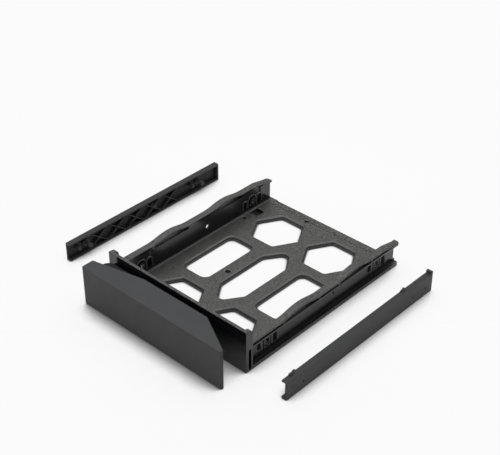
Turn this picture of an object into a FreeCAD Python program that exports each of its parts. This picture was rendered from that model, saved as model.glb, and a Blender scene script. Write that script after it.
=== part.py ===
"""Hard drive tray for a network storage box: frame, swinging front handle, two clip-in side panels.

Millimetres. X runs across the tray, Y to its rear and Z up. The origin lies on the underside, at
mid-width, below the inner face of the front wall: the plane that the drive bay is measured from.
The side panels stand beside the tray, taken off, as they are before a drive is put in.
"""
import FreeCAD, Part
import math
import os
import re

import Sketcher

SIZES = {
    # Tray floor, side walls and front wall
    "tray_width": 113.3,
    "tray_length": 140.4,
    "bay_width": 103.7,
    "base_thickness": 2.9,
    "wall_thickness": 1.4,
    "wall_foot": 0.7,
    "wall_rear_inset": 1.8,
    "front_wall_thickness": 2.1,
    "front_wall_height": 29.2,
    "lower_flange_thickness": 1.5,
    "flange_corner_radius": 2.4,
    # Straight rails on top of the side walls, and the sprung strips with two crests above them
    "rail_height": 16.8,
    "rail_thickness": 1.3,
    "strip_height": 19.1,
    "strip_thickness": 0.9,
    "strip_ramp_length": 14.4,
    "crest_shift": 0.7,
    "crest_spacing": 50.0,
    "crest_height": 2.0,
    "crest_half_length": 17.8,
    "bridge_reach": 15.8,
    "bridge_length": 1.7,
    "bridge_inset": 0.3,
    # Front corners
    "end_plate_thickness": 2.7,
    "end_plate_radius": 3.3,
    "channel_rib_offset": 2.1,
    "channel_rib_thickness": 1.4,
    # Side holes of a 3.5 inch drive: sleeves for the panel pins, each held by two spokes
    "pin_spacing": 101.6,
    "pin_shift": -0.2,
    "pin_rise": 6.35,
    "pin_clearance": 0.15,
    "sleeve_radius": 2.9,
    "sleeve_proud": 1.0,
    "spring_slot_width": 0.5,
    "spring_slot_angle": 100.0,
    "wall_groove_offset": 6.9,
    "wall_groove_bottom": 12.4,
    "wall_groove_radius": 1.7,
    "wall_groove_depth": 0.6,
    "hook_lead": 7.2,
    "hook_length": 1.6,
    "hook_height": 2.2,
    "hook_clearance": 0.25,
    "peg_offset": 58.5,
    "peg_rise": 6.9,
    "peg_hole_radius": 1.6,
    # Windows in the tray floor
    "hexagon_radius": 17.3,
    "hexagon_offset": 21.9,
    "hexagon_front": 19.1,
    "hexagon_rear_gap": 27.6,
    "hexagon_corner_radius": 1.9,
    "side_window_offset": 30.4,
    "side_window_width": 19.6,
    "side_window_bar": 9.6,
    "side_window_radius": 4.3,
    "centre_window_width": 18.9,
    "centre_window_stand_off": 14.1,
    "centre_window_taper": 13.7,
    "centre_window_radius": 3.4,
    "window_chamfer": 1.1,
    # Small features of the tray floor
    "small_drive_pitch_across": 61.72,
    "small_drive_pitch_along": 76.6,
    "small_drive_offset": 16.0,
    "small_drive_rear_gap": 44.2,
    "small_drive_hole_radius": 1.6,
    "rear_step_length": 5.4,
    "rear_step_depth": 0.5,
    "rear_step_margin": 5.8,
    "floor_recess_offset": 46.9,
    "floor_recess_rear_gap": 20.2,
    "floor_recess_width": 6.5,
    "floor_recess_length": 6.9,
    "floor_recess_depth": 2.1,
    "locating_hole_offset": 48.4,
    "locating_hole_rear_gap": 31.4,
    "locating_hole_radius": 1.4,
    # Hinge at the left of the front wall
    "hinge_offset": 49.9,
    "hinge_reach": 9.1,
    "hinge_pin_radius": 1.5,
    "hinge_pin_inset": 0.3,
    "hinge_fixed_clearance": 0.02,
    "hinge_running_clearance": 0.08,
    "hinge_gap": 0.4,
    "lug_radius": 4.8,
    "lug_bottom": 4.8,
    "lug_top": 20.2,
    "arm_thickness": 3.5,
    "arm_cap": 1.2,
    "arm_radius": 5.3,
    "arm_run": 21.1,
    "arm_flare": 8.6,
    # Front handle
    "handle_left": 59.0,
    "handle_length": 114.7,
    "handle_reach": 21.7,
    "handle_height": 27.4,
    "handle_floor_gap": 0.2,
    "handle_plate": 2.3,
    "handle_corner_radius": 1.0,
    "handle_foot_chamfer": 0.9,
    "handle_end_wall": 2.5,
    "shelf_thickness": 2.3,
    "shelf_depth": 16.9,
    "shelf_left_depth": 8.8,
    "shelf_left_run": 36.4,
    "shelf_right_run": 26.4,
    # Side panels
    "panel_setback": 5.0,
    "panel_proud": 0.5,
    "panel_web": 1.3,
    "panel_rim": 1.2,
    "panel_seat_gap": 0.3,
    "panel_top_gap": 0.8,
    "panel_ear_height": 1.7,
    "panel_ear_length": 1.7,
    "panel_pin_radius": 1.5,
    "panel_pin_reach": 4.0,
    "panel_boss_radius": 2.6,
    "panel_boss_inset": 1.2,
    "panel_peg_boss_radius": 1.8,
    "panel_peg_radius": 1.0,
    "panel_peg_reach": 1.6,
    "panel_hook_reach": 1.9,
    "panel_stop_rise": 0.9,
    "panel_stop_length": 3.2,
    "panel_stop_thickness": 1.4,
    "panel_cross_first": 24.9,
    "panel_cross_pitch": 15.9,
    "panel_cross_run": 15.0,
    "panel_rib_width": 0.8,
    "panel_rib_inset": 0.4,
    "panel_dimple_radius": 0.7,
    "panel_dimple_depth": 0.5,
    "panel_dimple_rear_gap": 7.1,
    "panel_dimple_rise": 5.4,
    # Where the two panels stand beside the tray
    "left_panel_distance": 102.0,
    "left_panel_front": 0.1,
    "right_panel_distance": 88.0,
    "right_panel_front": -3.4,
}

# Places that several pieces share, written on the sizes above
BAY_SIDE = "bay_width / 2"
TRAY_SIDE = "tray_width / 2"
WALL_OUTSIDE = f"({BAY_SIDE} + wall_thickness)"
CHANNEL_DEPTH = f"({TRAY_SIDE} - {WALL_OUTSIDE})"
PIN_MIDDLE = "(tray_length / 2 + pin_shift)"
PIN_FIRST = f"({PIN_MIDDLE} - pin_spacing / 2)"
PIN_LAST = f"({PIN_MIDDLE} + pin_spacing / 2)"
PIN_HEIGHT = "(base_thickness + pin_rise)"
PEG_HEIGHT = "(base_thickness + peg_rise)"
CREST_MIDDLE = "(tray_length / 2 + crest_shift)"
CREST_CENTRES = [f"({CREST_MIDDLE} - crest_spacing / 2)", f"({CREST_MIDDLE} + crest_spacing / 2)"]
CREST_RADIUS = "(crest_half_length ^ 2 + crest_height ^ 2) / (4 * crest_height)"
RAIL_BOTTOM = "(rail_height - rail_thickness)"
STRIP_BOTTOM = "(strip_height - strip_thickness)"
RAMP_START = "(tray_length - strip_ramp_length)"
HEXAGON_REAR = "(tray_length - hexagon_rear_gap)"
WINDOW_CENTRE = f"((hexagon_front + {HEXAGON_REAR}) / 2)"
HEXAGON_HALF_HEIGHT = "hexagon_radius * sqrt(3) / 2"
HALF_PITCH = f"(({HEXAGON_REAR} - hexagon_front) / 2)"
SIDE_WINDOW_HALF = f"({HALF_PITCH} - {HEXAGON_HALF_HEIGHT} - side_window_bar)"
CENTRE_WINDOW_HALF = f"({HALF_PITCH} - centre_window_stand_off)"
HINGE_X = "-hinge_offset"
HINGE_Y = "-hinge_reach"
HANDLE_LEFT = "-handle_left"
HANDLE_RIGHT = "(handle_length - handle_left)"
HANDLE_FRONT = "-handle_reach"
UPPER_ARM_BOTTOM = "(lug_top + hinge_gap)"
LOWER_ARM_BOTTOM = "(lug_bottom - hinge_gap - arm_thickness)"
PANEL_LENGTH = "(tray_length - panel_setback)"
PANEL_PIN_LEAD = f"({PIN_FIRST} - panel_setback)"
PANEL_PIN_HEIGHT = f"({PIN_HEIGHT} - lower_flange_thickness - panel_seat_gap)"
PANEL_PEG_HEIGHT = f"({PEG_HEIGHT} - lower_flange_thickness - panel_seat_gap)"
PANEL_HEIGHT = f"({RAIL_BOTTOM} - lower_flange_thickness - panel_seat_gap - panel_top_gap)"
PANEL_DEPTH = f"({CHANNEL_DEPTH} + panel_proud)"

doc = FreeCAD.newDocument("drive_tray")
sheet = doc.addObject("Spreadsheet::Sheet", "sizes")
for row, (alias, size) in enumerate(SIZES.items(), 1):
    sheet.set(f"A{row}", str(size))
    sheet.setAlias(f"A{row}", alias)
doc.recompute()


def link(text):
    """Turn an expression on size names into one on the sheet's cells."""
    return re.sub(r"[a-z]\w*", lambda word: "sizes." + word[0] if word[0] in SIZES else word[0], text)


def number(text):
    """The present value of an expression on size names."""
    return float(sheet.evalExpression(link(text)))


def origin_plane(body, role):
    return next(plane for plane in body.Origin.OriginFeatures if plane.Role == role)


def new_body(label):
    body = doc.addObject("PartDesign::Body", label)
    body.Label = label
    return body


def sketch_on(body, role, name, lift="0"):
    """A sketch on one of the body's own planes, lifted along the plane's normal."""
    sketch = body.newObject("Sketcher::SketchObject", name)
    sketch.AttachmentSupport = [(origin_plane(body, role), "")]
    sketch.MapMode = "FlatFace"
    sketch.setExpression("AttachmentOffset.Base.z", link(lift))
    return sketch


def constrain(sketch, kind, places, text):
    index = sketch.addConstraint(Sketcher.Constraint(kind, *places, number(text)))
    sketch.setExpression(f"Constraints[{index}]", link(text))


def arc_between(here, there, turn, radius):
    """The short arc from here to there that turns left or right."""
    chord = there - here
    rise = math.sqrt(max(radius ** 2 - (chord.Length / 2) ** 2, 0))
    sideways = FreeCAD.Vector(-chord.y, chord.x, 0).normalize()
    centre = (here + there) * 0.5 + sideways * (rise if turn == "left" else -rise)
    first, last = (here, there) if turn == "left" else (there, here)
    angles = [math.atan2(point.y - centre.y, point.x - centre.x) for point in (first, last)]
    return Part.ArcOfCircle(Part.Circle(centre, FreeCAD.Vector(0, 0, 1), radius), *angles)


def outline(sketch, corners):
    """A closed outline. After a corner (x, y) comes a line, after (x, y, turn, radius) an arc."""
    points = [FreeCAD.Vector(number(corner[0]), number(corner[1]), 0) for corner in corners]
    runs = []
    for here, there, corner in zip(points, points[1:] + points[:1], corners):
        if len(corner) == 2:
            runs.append((sketch.addGeometry(Part.LineSegment(here, there), False), 1, 2))
        else:
            turn, radius = corner[2:]
            index = sketch.addGeometry(arc_between(here, there, turn, number(radius)), False)
            runs.append((index, 1, 2) if turn == "left" else (index, 2, 1))
            constrain(sketch, "Radius", (index,), radius)
    for run, after, corner in zip(runs, runs[1:] + runs[:1], corners):
        sketch.addConstraint(Sketcher.Constraint("Coincident", run[0], run[2], after[0], after[1]))
        constrain(sketch, "DistanceX", (-1, 1, run[0], run[1]), corner[0])
        constrain(sketch, "DistanceY", (-1, 1, run[0], run[1]), corner[1])


def rectangle(sketch, low, high):
    outline(sketch, [low, (high[0], low[1]), high, (low[0], high[1])])


def circle(sketch, x, y, radius):
    centre = FreeCAD.Vector(number(x), number(y), 0)
    shape = Part.Circle(centre, FreeCAD.Vector(0, 0, 1), number(radius))
    index = sketch.addGeometry(shape, False)
    constrain(sketch, "DistanceX", (-1, 1, index, 3), x)
    constrain(sketch, "DistanceY", (-1, 1, index, 3), y)
    constrain(sketch, "Radius", (index,), radius)


def pad(body, sketch, length, back=False):
    feature = body.newObject("PartDesign::Pad", sketch.Name + "_pad")
    feature.Profile = sketch
    feature.Reversed = back
    feature.setExpression("Length", link(length))
    doc.recompute()
    return feature


def pocket(body, sketch, depth=None, back=False):
    """Cut by depth, or right through on both sides of the sketch, and see that material went."""
    before = body.Shape.Volume
    feature = body.newObject("PartDesign::Pocket", sketch.Name + "_pocket")
    feature.Profile = sketch
    feature.Reversed = back
    if depth:
        feature.setExpression("Length", link(depth))
    else:
        feature.Type = "ThroughAll"
        feature.SideType = "Symmetric"
    doc.recompute()
    if not body.Shape.Volume < before:
        raise ValueError(sketch.Name + " cuts nothing")
    return feature


def mirror_across(body, features, name):
    mirror = body.newObject("PartDesign::Mirrored", name)
    mirror.Originals = features
    mirror.MirrorPlane = (origin_plane(body, "YZ_Plane"), [""])
    body.Tip = mirror
    doc.recompute()
    return mirror


def repeat_along(body, features, name, step, count):
    """Copies of the features, each step further to the rear."""
    pattern = body.newObject("PartDesign::LinearPattern", name)
    pattern.Originals = features
    y_axis = next(axis for axis in body.Origin.OriginFeatures if axis.Role == "Y_Axis")
    pattern.Direction = (y_axis, [""])
    pattern.Occurrences = count
    pattern.setExpression("Length", link(f"({step}) * {count - 1}"))
    body.Tip = pattern
    doc.recompute()
    return pattern


def dress(body, kind, name, wanted, size_property, size):
    """A fillet or chamfer on every edge of the body that wanted picks out."""
    base = body.Tip
    edges = [f"Edge{index}" for index, edge in enumerate(base.Shape.Edges, 1) if wanted(edge)]
    feature = body.newObject(kind, name)
    feature.Base = (base, edges)
    feature.setExpression(size_property, link(size))
    doc.recompute()
    return feature


def upright_at(corners):
    """Picks the upright edges that stand on any of the corners."""
    spots = [(number(x), number(y)) for x, y in corners]

    def wanted(edge):
        box = edge.BoundBox
        upright = max(box.XLength, box.YLength) < 0.001
        return upright and any(math.hypot(box.XMin - x, box.YMin - y) < 0.01 for x, y in spots)
    return wanted


def crests(level, rearward):
    """The corners of a wavy edge over both crests, going rearward or forward."""
    corners = []
    turns = ["left", "right", "left"] if rearward else ["right", "left", "right"]
    for centre in CREST_CENTRES if rearward else reversed(CREST_CENTRES):
        way = "" if rearward else "-"
        half_way = f"{level} + crest_height / 2"
        corners += [
            (f"{centre} - {way}crest_half_length", level, turns[0], CREST_RADIUS),
            (f"{centre} - {way}crest_half_length / 2", half_way, turns[1], CREST_RADIUS),
            (f"{centre} + {way}crest_half_length / 2", half_way, turns[2], CREST_RADIUS),
            (f"{centre} + {way}crest_half_length", level),
        ]
    return corners


def add_floor(body):
    """Tray floor, its outer flanges and the front wall."""
    front = "-front_wall_thickness"
    wall_outside = f"{BAY_SIDE} + wall_thickness"
    sketch = sketch_on(body, "XY_Plane", "floor")
    rectangle(sketch, (f"-({wall_outside})", front), (wall_outside, "tray_length"))
    pad(body, sketch, "base_thickness")

    sketch = sketch_on(body, "XY_Plane", "lower_flange")
    rear = "tray_length - flange_corner_radius"
    inward = f"{TRAY_SIDE} - flange_corner_radius"
    outline(sketch, [
        (f"-{TRAY_SIDE}", front),
        (TRAY_SIDE, front),
        (TRAY_SIDE, rear, "left", "flange_corner_radius"),
        (inward, "tray_length"),
        (f"-({inward})", "tray_length", "left", "flange_corner_radius"),
        (f"-{TRAY_SIDE}", rear),
    ])
    pad(body, sketch, "lower_flange_thickness")

    sketch = sketch_on(body, "XZ_Plane", "front_wall")
    rectangle(sketch, (f"-{TRAY_SIDE}", "0"), (TRAY_SIDE, "front_wall_height"))
    pad(body, sketch, "front_wall_thickness")


def add_side_walls(body):
    """Both walls: web, straight rail, sprung strip with its supports, end plate and channel rib."""
    rail_middle = "(rail_height - rail_thickness / 2)"
    strip_middle = "(strip_height - strip_thickness / 2)"
    rail_width = f"({TRAY_SIDE} - {BAY_SIDE})"
    corner = "(tray_length - flange_corner_radius)"
    front_crest, rear_crest = CREST_CENTRES

    sketch = sketch_on(body, "YZ_Plane", "web", BAY_SIDE)
    rectangle(sketch, ("0", "0"), ("tray_length - wall_rear_inset", rail_middle))
    web = pad(body, sketch, "wall_thickness")

    sketch = sketch_on(body, "XY_Plane", "rail", RAIL_BOTTOM)
    outline(sketch, [
        (BAY_SIDE, "-front_wall_thickness / 2"),
        (TRAY_SIDE, "-front_wall_thickness / 2"),
        (TRAY_SIDE, corner, "left", "flange_corner_radius"),
        (f"{TRAY_SIDE} - flange_corner_radius", "tray_length"),
        (BAY_SIDE, "tray_length"),
    ])
    rail = pad(body, sketch, "rail_thickness")

    sketch = sketch_on(body, "YZ_Plane", "spine", BAY_SIDE)
    for start, stop in (
        ("-front_wall_thickness / 2", f"{front_crest} - bridge_reach"),
        (f"{front_crest} + bridge_reach", f"{rear_crest} - bridge_reach"),
        (f"{rear_crest} + bridge_reach", RAMP_START),
    ):
        rectangle(sketch, (start, rail_middle), (stop, strip_middle))
    spine = pad(body, sketch, "wall_thickness")

    sketch = sketch_on(body, "YZ_Plane", "bridge", BAY_SIDE)
    for centre in CREST_CENTRES:
        for end in (f"{centre} - bridge_reach", f"{centre} + bridge_reach"):
            low = (f"{end} - bridge_length / 2", rail_middle)
            rectangle(sketch, low, (f"{end} + bridge_length / 2", strip_middle))
    bridge = pad(body, sketch, f"{rail_width} - bridge_inset")

    sketch = sketch_on(body, "YZ_Plane", "strip", BAY_SIDE)
    outline(sketch, [
        ("-front_wall_thickness / 2", STRIP_BOTTOM),
        *crests(STRIP_BOTTOM, rearward=True),
        (RAMP_START, STRIP_BOTTOM),
        (corner, rail_middle),
        (corner, "rail_height - rail_thickness / 8"),
        (RAMP_START, "strip_height"),
        *crests("strip_height", rearward=False),
        ("-front_wall_thickness / 2", "strip_height"),
    ])
    strip = pad(body, sketch, rail_width)

    sketch = sketch_on(body, "YZ_Plane", "end_plate", TRAY_SIDE)
    plate_rear = "(channel_rib_offset + channel_rib_thickness)"
    plate_top = "front_wall_height - end_plate_radius"
    outline(sketch, [
        ("-front_wall_thickness / 2", RAIL_BOTTOM),
        (plate_rear, RAIL_BOTTOM),
        (plate_rear, plate_top, "left", "end_plate_radius"),
        (f"{plate_rear} - end_plate_radius", "front_wall_height"),
        ("-front_wall_thickness / 2", "front_wall_height"),
    ])
    end_plate = pad(body, sketch, "end_plate_thickness", back=True)

    wall_middle = f"{BAY_SIDE} + wall_thickness / 2"
    sketch = sketch_on(body, "YZ_Plane", "channel_rib", wall_middle)
    rectangle(sketch, ("channel_rib_offset", "lower_flange_thickness / 2"), (plate_rear, rail_middle))
    rib = pad(body, sketch, f"{CHANNEL_DEPTH} + wall_thickness / 2")

    sketch = sketch_on(body, "XZ_Plane", "wall_foot")
    outline(sketch, [
        (f"{BAY_SIDE} - wall_foot", "base_thickness"),
        (f"{BAY_SIDE} - wall_foot", "base_thickness / 2"),
        (wall_middle, "base_thickness / 2"),
        (wall_middle, "base_thickness + wall_foot"),
        (BAY_SIDE, "base_thickness + wall_foot"),
    ])
    foot = pad(body, sketch, "tray_length - wall_rear_inset", back=True)

    sketch = sketch_on(body, "YZ_Plane", "sleeve", wall_middle)
    for along in (PIN_FIRST, PIN_LAST):
        circle(sketch, along, PIN_HEIGHT, "sleeve_radius")
    sleeve = pad(body, sketch, "sleeve_proud + wall_thickness / 2", back=True)
    mirror_across(body, [web, rail, spine, bridge, strip, end_plate, rib, foot, sleeve], "left_wall")


def cut_wall_grooves(body):
    """Upright round grooves high in the inner faces of the walls, one behind each pin hole."""
    grooves = []
    for name, along in (("front_groove", PIN_FIRST), ("rear_groove", PIN_LAST)):
        sketch = sketch_on(body, "XY_Plane", name, "wall_groove_bottom")
        across = f"{BAY_SIDE} + wall_groove_depth - wall_groove_radius"
        circle(sketch, across, f"{along} + wall_groove_offset", "wall_groove_radius")
        grooves.append(pocket(body, sketch, "rail_height - wall_groove_bottom", back=True))
    mirror_across(body, grooves, "left_grooves")


def spring_slot_corners(pin, start):
    """One of the curved slots around a sleeve, from the start angle on."""
    stop = f"({start} + spring_slot_angle)"
    outer = "(sleeve_radius + spring_slot_width)"

    def spot(radius, angle):
        return f"{pin} + {radius} * cos({angle} * 1 deg)", f"{PIN_HEIGHT} + {radius} * sin({angle} * 1 deg)"
    return [
        (*spot("sleeve_radius", start), "left", "sleeve_radius"),
        spot("sleeve_radius", stop),
        (*spot(outer, stop), "right", outer),
        spot(outer, start),
    ]


def cut_wall_openings(body):
    """Through both walls: pin holes with their spring slots, hook windows and the peg hole."""
    sketch = sketch_on(body, "YZ_Plane", "wall_openings")
    for pin in (PIN_FIRST, PIN_LAST):
        circle(sketch, pin, PIN_HEIGHT, "panel_pin_radius + pin_clearance")
        for middle in (90, 270):
            start = f"({middle} - spring_slot_angle / 2)"
            outline(sketch, spring_slot_corners(pin, start))
        half_length = "(hook_length / 2 + hook_clearance)"
        half_height = "(hook_height / 2 + hook_clearance)"
        hook = f"{pin} - hook_lead"
        low = (f"{hook} - {half_length}", f"{PIN_HEIGHT} - {half_height}")
        rectangle(sketch, low, (f"{hook} + {half_length}", f"{PIN_HEIGHT} + {half_height}"))
    circle(sketch, f"{PIN_FIRST} + peg_offset", PEG_HEIGHT, "peg_hole_radius")
    pocket(body, sketch)


def hexagon_corners(side, along):
    across = f"{side} * hexagon_offset"
    steps = [("1", "0"), ("0.5", "1"), ("-0.5", "1"), ("-1", "0"), ("-0.5", "-1"), ("0.5", "-1")]
    return [(f"{across} + {x} * hexagon_radius", f"{along} + {y} * {HEXAGON_HALF_HEIGHT}") for x, y in steps]


def side_window_corners(side):
    half_width = "side_window_width / 2"
    steps = [("1", "1"), ("-1", "1"), ("-1", "-1"), ("1", "-1")]
    across = f"{side} * side_window_offset"
    middle = WINDOW_CENTRE
    return [(f"{across} + {x} * {half_width}", f"{middle} + {y} * {SIDE_WINDOW_HALF}") for x, y in steps]


def centre_window_corners():
    half_width = "centre_window_width / 2"
    straight = f"({CENTRE_WINDOW_HALF} - centre_window_taper)"
    steps = [("1", "1", straight), ("0", "1", CENTRE_WINDOW_HALF), ("-1", "1", straight),
             ("-1", "-1", straight), ("0", "-1", CENTRE_WINDOW_HALF), ("1", "-1", straight)]
    return [(f"{x} * {half_width}", f"{WINDOW_CENTRE} + {y} * {reach}") for x, y, reach in steps]


def cut_windows(body):
    """Seven windows in the floor, with rounded corners and a bevel along their upper edges."""
    rows = ("hexagon_front", HEXAGON_REAR)
    hexagons = [hexagon_corners(side, along) for along in rows for side in ("-1", "1")]
    side_windows = [side_window_corners(side) for side in ("-1", "1")]
    groups = {"hexagon": hexagons, "side_window": side_windows, "centre_window": [centre_window_corners()]}
    sketch = sketch_on(body, "XY_Plane", "windows")
    for windows in groups.values():
        for corners in windows:
            outline(sketch, corners)
    pocket(body, sketch, "base_thickness", back=True)
    for kind, windows in groups.items():
        corners = [corner for window in windows for corner in window]
        radius = f"{kind}_radius" if kind != "hexagon" else "hexagon_corner_radius"
        dress(body, "PartDesign::Fillet", f"{kind}_corners", upright_at(corners), "Radius", radius)

    level = number("base_thickness")
    side = number(f"{BAY_SIDE} - wall_foot") - 0.01
    rear = number("tray_length") - 0.01

    def on_window_rim(edge):
        box = edge.BoundBox
        at_level = max(abs(box.ZMin - level), abs(box.ZMax - level)) < 0.001
        return at_level and max(box.XMax, -box.XMin) < side and box.YMin > 0.01 and box.YMax < rear
    dress(body, "PartDesign::Chamfer", "window_bevel", on_window_rim, "Size", "window_chamfer")


def cut_floor_details(body):
    """Rear step, two blind recesses, the screw holes of a 2.5 inch drive and two locating holes."""
    sketch = sketch_on(body, "XY_Plane", "rear_step", "base_thickness")
    side = f"{BAY_SIDE} - rear_step_margin"
    rectangle(sketch, (f"-({side})", "tray_length - rear_step_length"), (side, "tray_length"))
    pocket(body, sketch, "rear_step_depth")

    sketch = sketch_on(body, "XY_Plane", "floor_recess", "base_thickness")
    centre = "tray_length - floor_recess_rear_gap"
    for way in ("-1", "1"):
        middle = f"{way} * floor_recess_offset"
        low = (f"{middle} - floor_recess_width / 2", f"{centre} - floor_recess_length / 2")
        high = (f"{middle} + floor_recess_width / 2", f"{centre} + floor_recess_length / 2")
        rectangle(sketch, low, high)
    pocket(body, sketch, "floor_recess_depth")

    sketch = sketch_on(body, "XY_Plane", "floor_holes")
    for across in ("-1", "1"):
        hole = f"{across} * locating_hole_offset"
        circle(sketch, hole, "tray_length - locating_hole_rear_gap", "locating_hole_radius")
        x = f"small_drive_offset + {across} * small_drive_pitch_across / 2"
        for along in ("-1", "1"):
            y = f"tray_length - small_drive_rear_gap + {along} * small_drive_pitch_along / 2"
            circle(sketch, x, y, "small_drive_hole_radius")
    pocket(body, sketch, "base_thickness", back=True)


def add_lug(body):
    """The hinge lug on the front wall, bored for the pin."""
    left = f"{HINGE_X} - lug_radius"
    right = f"{HINGE_X} + lug_radius"
    sketch = sketch_on(body, "XY_Plane", "lug", "lug_bottom")
    outline(sketch, [
        (left, "-front_wall_thickness / 2"),
        (left, HINGE_Y, "left", "lug_radius"),
        (HINGE_X, f"{HINGE_Y} - lug_radius", "left", "lug_radius"),
        (right, HINGE_Y),
        (right, "-front_wall_thickness / 2"),
    ])
    pad(body, sketch, "lug_top - lug_bottom")
    sketch = sketch_on(body, "XY_Plane", "lug_bore", "lug_bottom")
    circle(sketch, HINGE_X, HINGE_Y, "hinge_pin_radius + hinge_fixed_clearance")
    pocket(body, sketch, "lug_top - lug_bottom", back=True)


def make_tray_frame():
    body = new_body("tray_frame")
    add_floor(body)
    add_side_walls(body)
    cut_windows(body)
    cut_wall_grooves(body)
    cut_wall_openings(body)
    cut_floor_details(body)
    add_lug(body)
    return body


def make_front_handle():
    """Front plate, top shelf with its slanting ends, left end wall and two hinge arms, one capped."""
    body = new_body("front_handle")
    inside = f"{HANDLE_FRONT} + handle_plate"
    rounded_corner = [
        (HANDLE_LEFT, f"{HANDLE_FRONT} + handle_corner_radius", "left", "handle_corner_radius"),
        (f"{HANDLE_LEFT} + handle_corner_radius", HANDLE_FRONT),
        (HANDLE_RIGHT, HANDLE_FRONT),
        (HANDLE_RIGHT, inside),
    ]
    sketch = sketch_on(body, "XY_Plane", "front_plate", "handle_floor_gap")
    outline(sketch, [*rounded_corner, (HANDLE_LEFT, inside)])
    pad(body, sketch, "handle_height - handle_floor_gap")

    shelf_back = f"{HANDLE_FRONT} + shelf_depth"
    shelf_left = f"{HANDLE_FRONT} + shelf_left_depth"
    sketch = sketch_on(body, "XY_Plane", "shelf", "handle_height - shelf_thickness")
    outline(sketch, [
        *rounded_corner,
        (f"{HANDLE_RIGHT} - shelf_right_run", shelf_back),
        (f"{HANDLE_LEFT} + shelf_left_run", shelf_back),
        (HANDLE_LEFT, shelf_left),
    ])
    pad(body, sketch, "shelf_thickness")

    sketch = sketch_on(body, "XY_Plane", "end_wall", "handle_floor_gap")
    end_inside = f"{HANDLE_LEFT} + handle_end_wall"
    rectangle(sketch, (HANDLE_LEFT, f"{HANDLE_FRONT} + handle_corner_radius"), (end_inside, shelf_left))
    pad(body, sketch, "handle_height - shelf_thickness / 2 - handle_floor_gap")

    for name, bottom, bore in (
        ("upper_arm", UPPER_ARM_BOTTOM, "arm_thickness - arm_cap"),
        ("lower_arm", LOWER_ARM_BOTTOM, "arm_thickness"),
    ):
        arm_left = f"{HINGE_X} - arm_radius"
        arm_back = f"{HINGE_Y} + arm_radius"
        plate_middle = f"{HANDLE_FRONT} + handle_plate / 2"
        sketch = sketch_on(body, "XY_Plane", name, bottom)
        outline(sketch, [
            (arm_left, plate_middle),
            (f"{HINGE_X} + arm_run + arm_flare", plate_middle),
            (f"{HINGE_X} + arm_run", arm_back),
            (HINGE_X, arm_back, "left", "arm_radius"),
            (arm_left, HINGE_Y),
        ])
        pad(body, sketch, "arm_thickness")
        sketch = sketch_on(body, "XY_Plane", name + "_bore", bottom)
        circle(sketch, HINGE_X, HINGE_Y, "hinge_pin_radius + hinge_running_clearance")
        pocket(body, sketch, bore, back=True)

    sketch = sketch_on(body, "YZ_Plane", "foot_chamfer")
    beyond = f"{HANDLE_FRONT} - handle_foot_chamfer"
    outline(sketch, [
        (beyond, "handle_floor_gap - handle_foot_chamfer"),
        (f"{HANDLE_FRONT} + 2 * handle_foot_chamfer", "handle_floor_gap - handle_foot_chamfer"),
        (beyond, "handle_floor_gap + 2 * handle_foot_chamfer"),
    ])
    pocket(body, sketch)
    return body


def make_hinge_pin():
    pin = doc.addObject("Part::Cylinder", "handle_hinge_pin")
    bottom = f"{LOWER_ARM_BOTTOM} + hinge_pin_inset"
    top = f"{UPPER_ARM_BOTTOM} + arm_thickness - arm_cap - hinge_pin_inset"
    pin.setExpression("Radius", link("hinge_pin_radius"))
    pin.setExpression("Height", link(f"{top} - ({bottom})"))
    for letter, place in zip("xyz", (HINGE_X, HINGE_Y, bottom)):
        pin.setExpression(f"Placement.Base.{letter}", link(place))
    return pin


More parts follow.
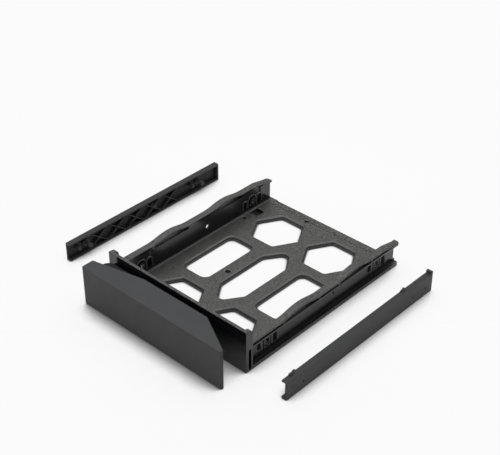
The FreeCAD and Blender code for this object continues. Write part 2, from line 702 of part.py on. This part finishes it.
def make_panel(label, side):
    """A shallow pan that clips into the channel of one wall; side is 1 on the right, -1 on the left."""
    body = new_body(label)
    inward = side > 0

    def raised(name, draw, height, start="0"):
        """Material on the inner face, from start to height, both measured from the outer face."""
        place = f"-({start})" if inward else start
        sketch = sketch_on(body, "YZ_Plane", f"{label}_{name}", place)
        draw(sketch)
        return pad(body, sketch, f"{height} - ({start})", back=inward)

    raised("web", lambda sketch: rectangle(sketch, ("0", "0"), (PANEL_LENGTH, PANEL_HEIGHT)), "panel_web")
    rim_rear = f"{PANEL_LENGTH} - panel_rim"
    rim_top = f"{PANEL_HEIGHT} - panel_rim"
    raised("rim", lambda sketch: outline(sketch, [
        ("0", "0"),
        (PANEL_LENGTH, "0"),
        (PANEL_LENGTH, PANEL_HEIGHT),
        ("0", PANEL_HEIGHT),
        ("0", rim_top),
        (rim_rear, rim_top),
        (rim_rear, "panel_rim"),
        ("0", "panel_rim"),
    ]), PANEL_DEPTH)

    low = "panel_rim / 2"
    high = f"{PANEL_HEIGHT} - panel_rim / 2"
    half_run = "panel_cross_run / 2"
    for name, foot, head in (("rising_rib", "-", "+"), ("falling_rib", "+", "-")):
        rib = raised(name, lambda sketch: outline(sketch, [
            (f"panel_cross_first {foot} {half_run} - panel_rib_width / 2", low),
            (f"panel_cross_first {foot} {half_run} + panel_rib_width / 2", low),
            (f"panel_cross_first {head} {half_run} + panel_rib_width / 2", high),
            (f"panel_cross_first {head} {half_run} - panel_rib_width / 2", high),
        ]), f"{PANEL_DEPTH} - panel_rib_inset", "panel_web / 2")
        repeat_along(body, [rib], f"{label}_{name}s", "panel_cross_pitch", 5)

    boss_top = f"{PANEL_DEPTH} - panel_boss_inset"
    hook = f"{PANEL_PIN_LEAD} - hook_lead"
    twice = [
        raised("boss", lambda sketch: circle(sketch, PANEL_PIN_LEAD, PANEL_PIN_HEIGHT, "panel_boss_radius"),
               boss_top, "panel_web / 2"),
        raised("pin", lambda sketch: circle(sketch, PANEL_PIN_LEAD, PANEL_PIN_HEIGHT, "panel_pin_radius"),
               f"{PANEL_DEPTH} + panel_pin_reach", "panel_web / 2"),
        raised("hook", lambda sketch: rectangle(
            sketch, (f"{hook} - hook_length / 2", f"{PANEL_PIN_HEIGHT} - hook_height / 2"),
            (f"{hook} + hook_length / 2", f"{PANEL_PIN_HEIGHT} + hook_height / 2")),
            f"{PANEL_DEPTH} + panel_hook_reach", "panel_web / 2"),
    ]
    if side > 0:
        twice.append(raised("stop", lambda sketch: rectangle(
            sketch, (f"{hook} - panel_stop_length / 2", high),
            (f"{hook} + panel_stop_length / 2", f"{PANEL_HEIGHT} + panel_stop_rise")),
            PANEL_DEPTH, f"{PANEL_DEPTH} - panel_stop_thickness"))
        raised("ear", lambda sketch: rectangle(
            sketch, (f"{PANEL_LENGTH} - panel_ear_length", rim_top),
            (PANEL_LENGTH, f"{PANEL_HEIGHT} + panel_ear_height")), PANEL_DEPTH)
    repeat_along(body, twice, f"{label}_pins", "pin_spacing", 2)
    peg = f"{PANEL_PIN_LEAD} + peg_offset"
    raised("peg_boss", lambda sketch: circle(sketch, peg, PANEL_PEG_HEIGHT, "panel_peg_boss_radius"),
           boss_top, "panel_web / 2")
    raised("peg", lambda sketch: circle(sketch, peg, PANEL_PEG_HEIGHT, "panel_peg_radius"),
           f"{PANEL_DEPTH} + panel_peg_reach", "panel_web / 2")

    sketch = sketch_on(body, "YZ_Plane", f"{label}_dimples")
    rear_dimple = f"{PANEL_LENGTH} - panel_dimple_rear_gap"
    for along in (PANEL_PIN_LEAD, f"{PANEL_PIN_LEAD} + pin_spacing", rear_dimple):
        circle(sketch, along, "panel_dimple_rise", "panel_dimple_radius")
    pocket(body, sketch, "panel_dimple_depth", back=not inward)

    place = "right_panel" if side > 0 else "left_panel"
    body.setExpression("Placement.Base.x", link(f"{side} * {place}_distance"))
    body.setExpression("Placement.Base.y", link(f"{place}_front"))
    return body


pieces = [
    make_tray_frame(),
    make_front_handle(),
    make_hinge_pin(),
    make_panel("left_fastening_panel", -1),
    make_panel("right_fastening_panel", 1),
]
doc.recompute()

for item in doc.Objects:
    if "Invalid" in item.State or "Error" in item.State:
        raise ValueError(f"{item.Label} failed: {item.State}")
for piece in pieces:
    if piece.Shape.isNull() or not piece.Shape.isValid() or len(piece.Shape.Solids) != 1:
        raise ValueError(piece.Label + " is not one valid solid")

os.makedirs("parts", exist_ok=True)
for piece in pieces:
    piece.Shape.exportStep(f"parts/{piece.Label}.step")
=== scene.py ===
"""Looks, light and camera for the hard drive tray. Metres, in the CAD frame: X right, Y rear, Z up."""
import math

import bmesh
import bpy
from mathutils import Matrix, Vector


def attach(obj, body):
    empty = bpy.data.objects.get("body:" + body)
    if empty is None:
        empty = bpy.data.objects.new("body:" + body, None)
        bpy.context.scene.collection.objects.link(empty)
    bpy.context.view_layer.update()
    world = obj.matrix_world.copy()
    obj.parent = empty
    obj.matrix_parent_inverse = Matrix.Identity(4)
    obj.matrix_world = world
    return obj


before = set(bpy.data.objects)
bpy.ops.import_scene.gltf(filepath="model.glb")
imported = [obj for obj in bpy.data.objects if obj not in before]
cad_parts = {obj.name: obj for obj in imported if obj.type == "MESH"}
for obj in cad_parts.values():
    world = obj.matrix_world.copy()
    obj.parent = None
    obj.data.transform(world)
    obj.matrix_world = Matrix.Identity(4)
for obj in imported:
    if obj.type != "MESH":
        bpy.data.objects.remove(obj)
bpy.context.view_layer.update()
scene = bpy.context.scene
scene.view_settings.view_transform = "Standard"


# Materials

# The ranges of the noises that are used, and the side and the turn at which rounded edges get a painted
# highlight
GRAIN_RANGE, CLOUD_RANGE = (0.4, 0.6), (0.3, 0.7)
HIGHLIGHT_SIDE, HIGHLIGHT_RANGE = (0.70, -0.70, 0.0), (0.03, 0.35)


def node_adder(tree):
    """A helper that adds a node, sets its options and fills or links its inputs."""
    def add(kind, inputs=None, **settings):
        node = tree.nodes.new(kind)
        for key, value in settings.items():
            setattr(node, key, value)
        for key, value in (inputs or {}).items():
            if isinstance(value, bpy.types.NodeSocket):
                tree.links.new(value, node.inputs[key])
            else:
                node.inputs[key].default_value = value
        return node
    return add


def shader_tree(name):
    """A new material, its node tree, its Principled node and the helper for its nodes."""
    material = bpy.data.materials.new(name)
    material.use_nodes = True
    tree = material.node_tree
    principled = next(node for node in tree.nodes if node.type == "BSDF_PRINCIPLED")
    return material, tree, principled, node_adder(tree)


def spread(add, value, low, high, start=0.0, stop=1.0):
    """Value between start and stop, carried over to the range from low to high."""
    node = add("ShaderNodeMapRange", {"Value": value, "From Min": start, "From Max": stop,
                                      "To Min": low, "To Max": high})
    return node.outputs["Result"]


def combined(add, operation, first, second):
    return add("ShaderNodeMath", {0: first, 1: second}, operation=operation).outputs[0]


def product(add, first, second):
    return combined(add, "MULTIPLY", first, second)


def larger(add, first, second):
    return combined(add, "MAXIMUM", first, second)


def tinted(add, colour, shade):
    inputs = {"Fac": 1.0, "Color1": (*colour, 1), "Color2": shade}
    return add("ShaderNodeMixRGB", inputs, blend_type="MULTIPLY").outputs[0]


def mixed(add, factor, first, second):
    return add("ShaderNodeMixRGB", {"Fac": factor, "Color1": first, "Color2": second}).outputs[0]


def within(add, place, low, high):
    """1 inside the box from low to high, else 0."""
    middle = [(a + b) / 2 for a, b in zip(low, high)]
    half = [(b - a) / 2 for a, b in zip(low, high)]
    offset = add("ShaderNodeVectorMath", {0: place, 1: middle}, operation="SUBTRACT").outputs[0]
    length = add("ShaderNodeVectorMath", {0: offset}, operation="ABSOLUTE").outputs[0]
    beyond = add("ShaderNodeVectorMath", {0: length, 1: half}, operation="SUBTRACT").outputs[0]
    x, y, z = add("ShaderNodeSeparateXYZ", {0: beyond}).outputs
    return combined(add, "LESS_THAN", larger(add, larger(add, x, y), z), 0.0)


def moulded_plastic(name, upright, top, gloss, grain, contrast, depth, edge, shine,
                    zones=(), rounding=None):
    """Black plastic, smooth on upright faces and spark-textured on faces that look up.

    gloss is the roughness of upright and of upper faces, shine the specular level. The colours of upright
    and of upper faces are set apart partly for the finish and partly as painted light, each tuned to how
    brightly that side is lit. A zone is a box, by its least and greatest corner, with its own colour and
    roughness. rounding is a box in which edges are rounder, their radius, and the colour of a painted
    highlight on their front and right sides.
    """
    material, tree, principled, add = shader_tree(name)
    place = add("ShaderNodeTexCoord").outputs["Object"]
    facing = add("ShaderNodeSeparateXYZ", {0: add("ShaderNodeNewGeometry").outputs["Normal"]})
    looks_up = add("ShaderNodeMapRange", {"Value": facing.outputs["Z"], "From Min": 0.45, "From Max": 0.95},
                   interpolation_type="SMOOTHSTEP").outputs["Result"]

    fine = add("ShaderNodeTexNoise", {"Vector": place, "Scale": grain, "Detail": 3.0, "Roughness": 0.6})
    broad = add("ShaderNodeTexNoise", {"Vector": place, "Scale": 90.0, "Detail": 2.0})
    speckle = spread(add, fine.outputs["Fac"], 1 - contrast, 1 + contrast, *GRAIN_RANGE)
    cloud = spread(add, broad.outputs["Fac"], 0.93, 1.07, *CLOUD_RANGE)
    smooth = tinted(add, upright, cloud)
    textured = tinted(add, top, product(add, speckle, cloud))
    colour = mixed(add, looks_up, smooth, textured)
    dulled = spread(add, fine.outputs["Fac"], contrast / 6, -contrast / 6, *GRAIN_RANGE)
    dulled = product(add, looks_up, dulled)
    roughness = combined(add, "ADD", spread(add, looks_up, *gloss), dulled)
    for low, high, tint, dullness in zones:
        inside = within(add, place, low, high)
        colour = mixed(add, inside, colour, tinted(add, tint, cloud))
        roughness = spread(add, inside, roughness, dullness)
    rounded = add("ShaderNodeBevel", {"Radius": edge}, samples=6).outputs["Normal"]
    if rounding:
        low, high, radius, highlight_colour = rounding
        inside = within(add, place, low, high)
        softer = add("ShaderNodeBevel", {"Radius": radius}, samples=8).outputs["Normal"]
        # Upward faces of rounded edges turned to the front and right get a painted highlight
        turned = add("ShaderNodeVectorMath", {0: softer, 1: HIGHLIGHT_SIDE}, operation="DOT_PRODUCT")
        painted_highlight = spread(add, turned.outputs["Value"], 0.0, 1.0, *HIGHLIGHT_RANGE)
        painted_highlight = product(add, product(add, inside, looks_up), painted_highlight)
        colour = mixed(add, painted_highlight, colour, (*highlight_colour, 1))
        rounded = mixed(add, inside, rounded, softer)
    tree.links.new(colour, principled.inputs["Base Color"])
    tree.links.new(roughness, principled.inputs["Roughness"])
    principled.inputs["Specular IOR Level"].default_value = shine

    bump = add("ShaderNodeBump", {"Strength": spread(add, looks_up, 0.1, 1.0), "Distance": depth,
                                  "Height": fine.outputs["Fac"], "Normal": rounded})
    tree.links.new(bump.outputs["Normal"], principled.inputs["Normal"])
    return material


def turned_steel(name):
    material, tree, principled, add = shader_tree(name)
    place = add("ShaderNodeTexCoord").outputs["Object"]
    rings = add("ShaderNodeTexWave", {"Vector": place, "Scale": 900.0, "Distortion": 1.5},
                bands_direction="Z")
    tint = add("ShaderNodeValToRGB", {"Fac": rings.outputs["Fac"]})
    tint.color_ramp.elements[0].color = (0.36, 0.36, 0.37, 1)
    tint.color_ramp.elements[1].color = (0.55, 0.55, 0.56, 1)
    tree.links.new(tint.outputs["Color"], principled.inputs["Base Color"])
    principled.inputs["Metallic"].default_value = 1.0
    principled.inputs["Roughness"].default_value = 0.35
    return material


# Boxes with a colour and roughness of their own, by their least and greatest corner; most of them carry
# painted shade and painted highlight
# Below 2 mm, the lower flanges' tops and outer edges are painted black as shade; within the walls' height
# every face takes the black of upright faces
UNDERSIDE = (-0.06, -0.03, -0.001), (0.06, 0.15, 0.0020)
WALLS = (-0.06, -0.03, 0.0040), (0.06, 0.126, 0.0172)
# Strips along the outer edges of the lower flanges, painted lighter as a highlight
LEFT_FLANGE_EDGE = (-0.0580, 0.004, 0.0013), (-0.0557, 0.1395, 0.0020)
RIGHT_FLANGE_EDGE = (0.0557, 0.004, 0.0013), (0.0580, 0.1395, 0.0020)
# The tray floor around the windows, where the rounded window edges get a painted highlight
WINDOW_EDGES = (-0.0512, 0.002, 0.0024), (0.0512, 0.139, 0.0032)
# Inside the handle and along its foot, painted black as shade
HANDLE_INSIDE = (-0.0589, -0.01945, -0.01), (0.07, 0.03, 0.0273)
HANDLE_FOOT = (-0.07, -0.03, -0.001), (0.07, 0.01, 0.0011)
# The recessed pans of both panels, painted darker as shade
LEFT_PAN = (-0.1017, -0.01, 0.0011), (-0.1001, 0.1345, 0.0118)
RIGHT_PAN = (0.0861, -0.01, 0.0011), (0.0877, 0.1310, 0.0118)
# The panel tops, where the rounded edges get a painted highlight
PANEL_TOPS = (-0.11, -0.02, 0.0120), (0.10, 0.15, 0.02)

# Box colours: smooth black that also serves as painted shade, a painted highlight for the flange edges, and
# painted shade inside the handle and in the panel pans
SMOOTH_BLACK_AND_SHADE, FLANGE_HIGHLIGHT = (0.007, 0.007, 0.009), (0.085, 0.085, 0.082)
HANDLE_SHADE, PAN_SHADE = (0.012, 0.012, 0.014), (0.016, 0.016, 0.016)
# The tray's spark-textured tops are lighter than its smooth black uprights, partly for that finish and
# partly as painted light
tray_plastic = moulded_plastic(
    "tray_plastic", upright=SMOOTH_BLACK_AND_SHADE, top=(0.041, 0.041, 0.039), gloss=(0.14, 0.42),
    grain=1000, contrast=0.9, depth=0.0004, edge=0.0004, shine=0.58,
    zones=((*UNDERSIDE, SMOOTH_BLACK_AND_SHADE, 0.25), (*WALLS, SMOOTH_BLACK_AND_SHADE, 0.25),
           (*RIGHT_FLANGE_EDGE, FLANGE_HIGHLIGHT, 0.40), (*LEFT_FLANGE_EDGE, FLANGE_HIGHLIGHT, 0.40)),
    rounding=(*WINDOW_EDGES, 0.0015, (0.14, 0.14, 0.135)))
# The handle's sides are lighter than its top: painted light, each tuned to how brightly it is lit
handle_plastic = moulded_plastic(
    "handle_plastic", upright=(0.050, 0.047, 0.048), top=(0.038, 0.039, 0.041), gloss=(0.55, 0.45),
    grain=4200, contrast=0.12, depth=0.00001, edge=0.00025, shine=0.25,
    zones=((*HANDLE_INSIDE, HANDLE_SHADE, 0.6), (*HANDLE_FOOT, HANDLE_SHADE, 0.6)))
# The panels' sides are lighter than their tops: painted light, each tuned to how brightly it is lit
panel_plastic = moulded_plastic(
    "panel_plastic", upright=(0.048, 0.048, 0.049), top=(0.030, 0.030, 0.031), gloss=(0.50, 0.50),
    grain=3200, contrast=0.15, depth=0.00001, edge=0.0003, shine=0.25,
    zones=((*LEFT_PAN, PAN_SHADE, 0.5), (*RIGHT_PAN, PAN_SHADE, 0.5)),
    rounding=(*PANEL_TOPS, 0.0007, (0.085, 0.085, 0.086)))
# The clip rims' colour, much lighter than the tray's, is a painted highlight
rim_highlight_plastic = moulded_plastic(
    "rim_highlight_plastic", upright=(0.090, 0.090, 0.091), top=(0.16, 0.16, 0.157), gloss=(0.30, 0.40),
    grain=3200, contrast=0.15, depth=0.00001, edge=0.0001, shine=0.5)
# Near-black plates that stand for the shade inside the clip slots: painted shade
slot_shade = moulded_plastic(
    "slot_shade", upright=(0.002, 0.002, 0.002), top=(0.002, 0.002, 0.002), gloss=(0.7, 0.7),
    grain=3200, contrast=0.15, depth=0.00001, edge=0.0001, shine=0.1)
pin_steel = turned_steel("pin_steel")

looks = {
    "tray_frame": tray_plastic,
    "front_handle": handle_plastic,
    "handle_hinge_pin": pin_steel,
    "left_fastening_panel": panel_plastic,
    "right_fastening_panel": panel_plastic,
}
for node, material in looks.items():
    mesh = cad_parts[node].data
    mesh.materials.clear()
    mesh.materials.append(material)


# Raised rims around the clips of both walls, painted lighter than the tray as a highlight, and near-black
# plates as painted shade in the slots inside them, from the middle of each pin hole

PIN_PLACES, PIN_HEIGHT = (0.0192, 0.1208), 0.00925
INNER_FACE, OUTER_FACE = 0.05185, 0.05325
RIM_THICKNESS, RIM_HEIGHT = 0.0009, 0.0003
SLOT_DEPTH, SLOT_HEIGHT = 0.0003, 0.00008


def arc(centre, radius, start, stop, steps=20):
    turns = [math.radians(start + (stop - start) * step / steps) for step in range(steps + 1)]
    return [(centre[0] + radius * math.cos(turn), centre[1] + radius * math.sin(turn)) for turn in turns]


def arch(centre, radius, drop):
    """Two upright legs joined by a half circle at the top."""
    y, z = centre
    return [(y + radius, z - drop)] + arc(centre, radius, 0, 180) + [(y - radius, z - drop)]


RIMS = (arch((-0.0003, 0.0006), 0.0041, 0.0046), arch((0.0066, 0.0010), 0.0026, 0.0050),
        arch((-0.0072, 0.0006), 0.0021, 0.0036))
SLOTS = (arch((0.0066, 0.0008), 0.0015, 0.0044), arch((-0.0072, 0.0006), 0.0013, 0.0030),
         arch((0, 0), 0.0037, 0.0040) + arch((0, 0), 0.00295, 0.0040)[::-1])


def dress(piece, material):
    """Gives a piece its material and lets it move with the tray."""
    scene.collection.objects.link(piece)
    piece.data.materials.clear()
    piece.data.materials.append(material)
    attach(piece, "tray")


def clip_rims(name, faces, thickness, proud):
    """Round bars along every rim outline, sunk into the wall faces but for a small height, coloured lighter
    than the tray as a painted highlight.
    """
    curve = bpy.data.curves.new(name, "CURVE")
    curve.dimensions = "3D"
    curve.bevel_depth = thickness / 2
    curve.bevel_resolution = 2
    curve.use_fill_caps = True
    for face, outward in faces:
        middle = face + outward * (proud - thickness / 2)
        for pin in PIN_PLACES:
            for shape in RIMS:
                spline = curve.splines.new("POLY")
                spline.points.add(len(shape) - 1)
                for point, (y, z) in zip(spline.points, shape):
                    point.co = (middle, pin + y, PIN_HEIGHT + z, 1)
    draft = bpy.data.objects.new(name + "_draft", curve)
    scene.collection.objects.link(draft)
    mesh = bpy.data.meshes.new_from_object(draft.evaluated_get(bpy.context.evaluated_depsgraph_get()))
    bpy.data.objects.remove(draft)
    dress(bpy.data.objects.new(name, mesh), rim_highlight_plastic)


def shaded_clip_slots(name, faces):
    """Thin near-black plates in the wall faces, in the slot outlines, as painted shade in the slots."""
    shell = bmesh.new()
    for face, outward in faces:
        for pin in PIN_PLACES:
            for shape in SLOTS:
                low, high = (
                    [shell.verts.new((face + outward * depth, pin + y, PIN_HEIGHT + z)) for y, z in shape]
                    for depth in (-SLOT_DEPTH, SLOT_HEIGHT))
                shell.faces.new(low)
                shell.faces.new(high)
                for k in range(len(shape)):
                    shell.faces.new((low[k - 1], low[k], high[k], high[k - 1]))
    bmesh.ops.recalc_face_normals(shell, faces=shell.faces)
    mesh = bpy.data.meshes.new(name)
    shell.to_mesh(mesh)
    shell.free()
    dress(bpy.data.objects.new(name, mesh), slot_shade)


# Each face of the walls, with the way that it looks along X
WALL_FACES = ((-OUTER_FACE, -1), (-INNER_FACE, 1), (INNER_FACE, -1), (OUTER_FACE, 1))
clip_rims("clip_rims", WALL_FACES, RIM_THICKNESS, RIM_HEIGHT)
shaded_clip_slots("shaded_clip_slots", WALL_FACES)


# Floor, light and camera

FLOOR_SIZE = 60
bpy.ops.mesh.primitive_plane_add(size=FLOOR_SIZE, location=(0, 0, 0))
floor = bpy.context.object
floor.name = "floor"
floor_paint, floor_tree, floor_shader, add_floor = shader_tree("floor_paint")
wash = add_floor("ShaderNodeTexNoise", {"Scale": 3.0})
tone = spread(add_floor, wash.outputs["Fac"], 0.93, 0.95)
floor_tree.links.new(tone, floor_shader.inputs["Base Color"])
floor_shader.inputs["Roughness"].default_value = 0.9
floor_shader.inputs["Specular IOR Level"].default_value = 0.0

# What is seen of the floor is mostly plain white paper, a glow whose colour carries a painted shadow that
# darkens it close to the object, leaning towards the light
WHITE = 0.965
NEAR_SHARE = 0.85
NEAR, FAR = 0.12, 0.22
TRAY_MIDDLE = (0, 0.07, 0)
SHADE_REACH = 0.022
towards_light = add_floor("ShaderNodeCombineXYZ", {"X": 0.0, "Y": 0.174, "Z": 0.985}).outputs[0]
nearness = add_floor("ShaderNodeAmbientOcclusion", {"Distance": SHADE_REACH, "Normal": towards_light},
                     samples=12)
painted_contact_shadow = add_floor("ShaderNodeValToRGB", {"Fac": nearness.outputs["AO"]})
ramp = painted_contact_shadow.color_ramp
SHADE = ((0.40, 0.03), (0.45, 0.07), (0.50, 0.22), (0.545, 0.40), (0.59, 0.61), (0.64, 0.81),
         (0.72, WHITE))
for place, _ in SHADE[1:-1]:
    ramp.elements.new(place)
for stop, (place, level) in zip(ramp.elements, SHADE):
    stop.position = place
    stop.color = (level, level, level, 1)
# The floor's glow, whose colour holds the painted shadow
paper = add_floor("ShaderNodeEmission", {"Color": painted_contact_shadow.outputs["Color"], "Strength": 1.0})
ray = add_floor("ShaderNodeLightPath").outputs
mirrored = larger(add_floor, ray["Is Glossy Ray"], ray["Is Transmission Ray"])
spot = add_floor("ShaderNodeTexCoord").outputs["Object"]
away = add_floor("ShaderNodeVectorMath", {0: spot, 1: TRAY_MIDDLE}, operation="DISTANCE")
reach = away.outputs["Value"]
direct = product(add_floor, ray["Is Camera Ray"], spread(add_floor, reach, NEAR_SHARE, 1.0, NEAR, FAR))
indirect = product(add_floor, mirrored, spread(add_floor, reach, 0.0, 1.0, NEAR, FAR))
share = larger(add_floor, direct, indirect)
blend = add_floor("ShaderNodeMixShader", {0: share, 1: floor_shader.outputs[0], 2: paper.outputs[0]})
floor_output = next(node for node in floor_tree.nodes if node.type == "OUTPUT_MATERIAL")
floor_tree.links.new(blend.outputs[0], floor_output.inputs["Surface"])
floor.data.materials.append(floor_paint)

world = bpy.data.worlds.new("studio")
world.use_nodes = True
background = next(node for node in world.node_tree.nodes if node.type == "BACKGROUND")
background.inputs["Color"].default_value = (1, 1, 1, 1)
background.inputs["Strength"].default_value = 0.2
scene.world = world


def softbox(name, place, target, size, watts):
    light = bpy.data.lights.new(name, "AREA")
    light.shape = "RECTANGLE"
    light.size, light.size_y = size
    light.energy = watts
    box = bpy.data.objects.new(name, light)
    box.location = place
    box.rotation_euler = (Vector(target) - Vector(place)).to_track_quat("-Z", "Y").to_euler()
    scene.collection.objects.link(box)


softbox("overhead_softbox", (-0.4, 0.6, 1.15), (-0.4, 0.6, 0), (2.2, 1.8), 24.0)
softbox("front_fill", (-0.3, -1.5, 0.8), (0, 0, 0.02), (1.2, 0.8), 5.0)

AZIMUTH, ELEVATION, ROLL = 42.71, 34.39, 0.07
CAMERA_PLACE = (0.38883, -0.35896, 0.43339)
SENSOR_WIDTH = 36.0
FOCAL_PIXELS, IMAGE_PIXELS = 1150, 500
camera_data = bpy.data.cameras.new("camera")
camera_data.sensor_fit = "HORIZONTAL"
camera_data.sensor_width = SENSOR_WIDTH
camera_data.lens = FOCAL_PIXELS / IMAGE_PIXELS * SENSOR_WIDTH
camera = bpy.data.objects.new("camera", camera_data)
turn = Matrix.Rotation(math.radians(AZIMUTH), 4, "Z")
tip = Matrix.Rotation(math.radians(90 - ELEVATION), 4, "X")
lean = Matrix.Rotation(math.radians(ROLL), 4, "Z")
camera.matrix_world = Matrix.Translation(CAMERA_PLACE) @ turn @ tip @ lean
scene.collection.objects.link(camera)
scene.camera = camera
